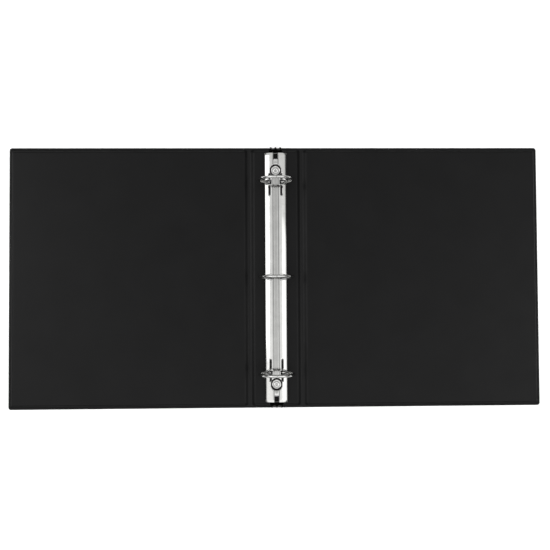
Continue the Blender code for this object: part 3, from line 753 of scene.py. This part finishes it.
# --- Materials ----------------------------------------------------------------
class Nodes:
    """A short way to add nodes to one material and link them."""

    def __init__(self, name):
        self.material = bpy.data.materials.new(name)
        self.material.use_nodes = True
        self.tree = self.material.node_tree
        self.shader = self.tree.nodes["Principled BSDF"]

    def add(self, kind, inputs=None, **settings):
        """Add a node, set its own settings, and set or link its inputs by name."""
        node = self.tree.nodes.new(kind)
        for key, value in settings.items():
            setattr(node, key, value)
        for key, value in (inputs or {}).items():
            socket = next(entry for entry in node.inputs if entry.name == key and entry.enabled)
            if isinstance(value, bpy.types.NodeSocket):
                self.tree.links.new(value, socket)
            else:
                socket.default_value = value
        return node

    def place(self, stretch=(1, 1, 1)):
        """Return object coordinates in metres, stretched along each axis."""
        coordinates = self.add("ShaderNodeTexCoord").outputs["Object"]
        return self.add("ShaderNodeMapping", {"Vector": coordinates, "Scale": stretch}).outputs["Vector"]

    def noise(self, vector, scale, detail=4.0, roughness=0.5):
        values = {"Vector": vector, "Scale": scale, "Detail": detail, "Roughness": roughness}
        return self.add("ShaderNodeTexNoise", values).outputs["Fac"]

    def remap(self, value, low, high, from_low=0.3, from_high=0.7):
        """Stretch the value's range from from_low..from_high to low..high."""
        values = {"Value": value, "From Min": from_low, "From Max": from_high}
        values.update({"To Min": low, "To Max": high})
        return self.add("ShaderNodeMapRange", values).outputs["Result"]

    def blend_colours(self, share, first, second):
        ramp = self.add("ShaderNodeValToRGB", {"Fac": share})
        ramp.color_ramp.elements[0].position = 0.3
        ramp.color_ramp.elements[1].position = 0.7
        ramp.color_ramp.elements[0].color = (*first, 1)
        ramp.color_ramp.elements[1].color = (*second, 1)
        return ramp.outputs["Color"]

    def mix_colours(self, share, first, second):
        """Return the first colour, going to the constant second colour as share goes to 1."""
        mix = self.add("ShaderNodeMix", {"Factor": share, "A": first, "B": (*second, 1)}, data_type="RGBA")
        return next(socket for socket in mix.outputs if socket.enabled)

    def bump(self, height, distance, strength=1.0, normal=None):
        values = {"Height": height, "Distance": distance, "Strength": strength}
        if normal:
            values["Normal"] = normal
        return self.add("ShaderNodeBump", values).outputs["Normal"]

    def set(self, **sockets):
        """Set or link the shader's sockets; an underscore stands for a space."""
        for key, value in sockets.items():
            socket = self.shader.inputs[key.replace("_", " ")]
            if isinstance(value, bpy.types.NodeSocket):
                self.tree.links.new(value, socket)
            else:
                socket.default_value = value
        return self.material


def vinyl_black(tone):
    """Return a black that leans very slightly to blue."""
    return (tone, tone, tone + VINYL_BLUE)


def vinyl_material(name, dark, light, weld_highlight_tone, grain_scale):
    """Matte black vinyl: pebbled grain, faint cloudiness, rubbed patches, and a painted highlight on the pressed
    welds.
    """
    nodes = Nodes(name)
    place = nodes.place()
    clouds = nodes.noise(place, 22, detail=6)
    rubbed = nodes.noise(place, 65, detail=8, roughness=0.65)
    pebbles = nodes.add("ShaderNodeTexVoronoi", {"Vector": place, "Scale": grain_scale}).outputs["Distance"]
    fibres = nodes.noise(place, grain_scale * 1.7, detail=3)
    grain = nodes.bump(pebbles, 0.00004, 0.5)
    surface = nodes.bump(fibres, 0.00003, 0.5, normal=grain)
    height = nodes.add("ShaderNodeSeparateXYZ", {"Vector": place}).outputs["Z"]
    # Painted highlight: the base colour goes paler where the sheets are pressed together at the welds and creases
    pressed = nodes.remap(height, 1, 0, from_low=WELD_TOP, from_high=WELD_TOP + VINYL / 2)
    field = nodes.blend_colours(clouds, vinyl_black(dark), vinyl_black(light))
    return nodes.set(
        Base_Color=nodes.mix_colours(pressed, field, vinyl_black(weld_highlight_tone)),
        Roughness=nodes.remap(rubbed, 0.34, 0.42),
        Specular_IOR_Level=0.112,
        Normal=surface,
    )


def plated_material(name, colour, roughness, brushed=False):
    """Plating: handling smudges, fine drawn lines, an uneven coat, and painted shade darkening the pressed
    recesses.
    """
    nodes = Nodes(name)
    place = nodes.place()
    drawn = nodes.noise(nodes.place((1, 0.04, 1)), 2600 if brushed else 1500, detail=3)
    smudges = nodes.noise(place, 95, detail=7, roughness=0.6)
    coat = nodes.noise(place, 240, detail=2)
    dull = tuple(DULL_TONE * part for part in colour)
    # Painted shade: the share of it stored on the arch plate's vertices darkens the base colour; other parts have
    # none
    painted_recess_shade = nodes.add("ShaderNodeAttribute", attribute_name="painted_recess_shade").outputs["Fac"]
    coated = nodes.blend_colours(smudges, dull, colour)
    shaded = nodes.mix_colours(painted_recess_shade, coated, tuple(PAINTED_SHADE_TONE * part for part in colour))
    lines = nodes.bump(drawn, 0.000012 if brushed else 0.000003, 0.6)
    return nodes.set(
        Base_Color=shaded,
        Metallic=1.0,
        Roughness=nodes.remap(smudges, roughness * 0.7, roughness * 1.5),
        Normal=nodes.bump(coat, 0.00001, 0.35, normal=lines),
    )


def greyboard_material():
    """Recycled greyboard: mottled tone, with fibres in its roughness and bumps."""
    nodes = Nodes("fibrous_greyboard")
    place = nodes.place()
    fibres = nodes.noise(nodes.place((1, 0.25, 1)), 900, detail=8, roughness=0.7)
    mottle = nodes.noise(place, 160, detail=6)
    return nodes.set(
        Base_Color=nodes.blend_colours(mottle, (0.24, 0.22, 0.19), (0.36, 0.33, 0.29)),
        Roughness=nodes.remap(fibres, 0.85, 0.97),
        Normal=nodes.bump(fibres, 0.0001, 0.7),
    )


def make_materials():
    """Return the materials by the name of their slot."""
    return {
        # The third tone is the painted highlight on the pressed welds and creases.
        "cover_vinyl": vinyl_material("cover_vinyl", 0.0010, 0.0022, 0.0020, 2400),
        "lining_vinyl": vinyl_material("lining_vinyl", 0.0012, 0.0024, 0.0030, 2900),
        "greyboard": greyboard_material(),
        "nickel_plate": plated_material("nickel_plate", (0.41, 0.41, 0.40), 0.09),
        "zinc_steel": plated_material("zinc_steel", (0.52, 0.53, 0.54), 0.30, brushed=True),
        "nickel_wire": plated_material("nickel_wire", (0.46, 0.46, 0.45), 0.09),
        # Painted reflection: the nickel lever's plating is painted near black for the dark surroundings it
        # reflects
        "nickel_lever": plated_material("nickel_lever", (0.07, 0.07, 0.068), 0.26),
        "steel_pin": plated_material("steel_pin", (0.56, 0.56, 0.57), 0.25, brushed=True),
        "nickel_rivet": plated_material("nickel_rivet", (0.52, 0.52, 0.51), 0.13),
    }


def dress_cad_nodes(materials):
    """Give the CAD nodes that stay their materials, and break the hinge plates' sharp edges."""
    for row in frame["record"]["subparts"]:
        node = frame["nodes"][row["node"]]
        for slot in node.material_slots:
            slot.material = materials[row["material_slot"]]
    for side in SIDES:
        edges = frame["nodes"][f"{side}_hinge_plate"].modifiers.new("broken edges", "BEVEL")
        edges.width = HINGE_EDGE_ROUND
        edges.limit_method = "ANGLE"


# --- Surroundings ---------------------------------------------------------------
def build_floor():
    """Large pale floor just under the case."""
    bm = bmesh.new()
    ends = (-FLOOR_SIZE / 2, FLOOR_SIZE / 2)
    add_grid(bm, [[(x, y, FLOOR_Z) for x in ends] for y in ends])
    nodes = Nodes("pale_floor")
    speck = nodes.noise(nodes.place(), 3, detail=3)
    material = nodes.set(
        Base_Color=nodes.blend_colours(speck, (0.90, 0.90, 0.90), (0.92, 0.92, 0.92)),
        Roughness=0.8,
        Specular_IOR_Level=0.1,
    )
    make_piece("floor", bm, material)


def build_dome():
    """Soft studio dome: grey overhead, white round it, dim near the floor and past the case's top.

    DOME_TONES pairs the sine of the elevation with a tone. DOME_FADE dims the whole along Y.
    """
    world = bpy.data.worlds.new("studio_dome")
    bpy.context.scene.world = world
    world.use_nodes = True
    tree = world.node_tree
    coordinates = tree.nodes.new("ShaderNodeTexCoord")
    split = tree.nodes.new("ShaderNodeSeparateXYZ")
    ramp = tree.nodes.new("ShaderNodeValToRGB")
    background = tree.nodes["Background"]
    elements = ramp.color_ramp.elements
    while len(elements) < len(DOME_TONES):
        elements.new(0.5)
    for element, (position, tone) in zip(elements, DOME_TONES):
        element.position = position
        element.color = (tone, tone, tone, 1)
    fade = tree.nodes.new("ShaderNodeMapRange")
    for key, value in DOME_FADE.items():
        fade.inputs[key].default_value = value
    tree.links.new(coordinates.outputs["Generated"], split.inputs["Vector"])
    tree.links.new(split.outputs["Y"], fade.inputs["Value"])
    tree.links.new(fade.outputs["Result"], background.inputs["Strength"])
    tree.links.new(split.outputs["Z"], ramp.inputs["Fac"])
    tree.links.new(ramp.outputs["Color"], background.inputs["Color"])


def add_soft_light(name, place, power):
    """Large soft box aimed at the middle of the case."""
    light = bpy.data.lights.new(name, "AREA")
    light.shape = "RECTANGLE"
    light.size, light.size_y = LIGHT_SIZE
    light.energy = power
    lamp = bpy.data.objects.new(name, light)
    bpy.context.scene.collection.objects.link(lamp)
    lamp.location = place
    lamp.rotation_euler = (-Vector(place)).to_track_quat("-Z", "Y").to_euler()


def build_camera():
    """Camera almost straight above the case."""
    data = bpy.data.cameras.new("camera")
    data.lens = CAMERA_LENS_MM
    data.clip_start = CAMERA_NEAREST
    camera = bpy.data.objects.new("camera", data)
    bpy.context.scene.collection.objects.link(camera)
    camera.location = CAMERA_PLACE
    camera.rotation_euler = [radians(angle) for angle in CAMERA_TILT_DEGREES]
    bpy.context.scene.camera = camera


materials = make_materials()
dress_cad_nodes(materials)
build_case(materials)
build_arch_plate(materials["nickel_plate"])
for place in RING_PLACES:
    for side_name in SIDES:
        build_half_ring(place, side_name, materials["nickel_wire"])
for end_name in ENDS:
    build_rivet(end_name, materials["nickel_rivet"])
    build_lever(end_name, materials["nickel_lever"])
build_floor()
build_dome()
for light_name, (light_place, power) in LIGHTS.items():
    add_soft_light(light_name, light_place, power)
build_camera()
bpy.context.scene.view_settings.view_transform = "Standard"
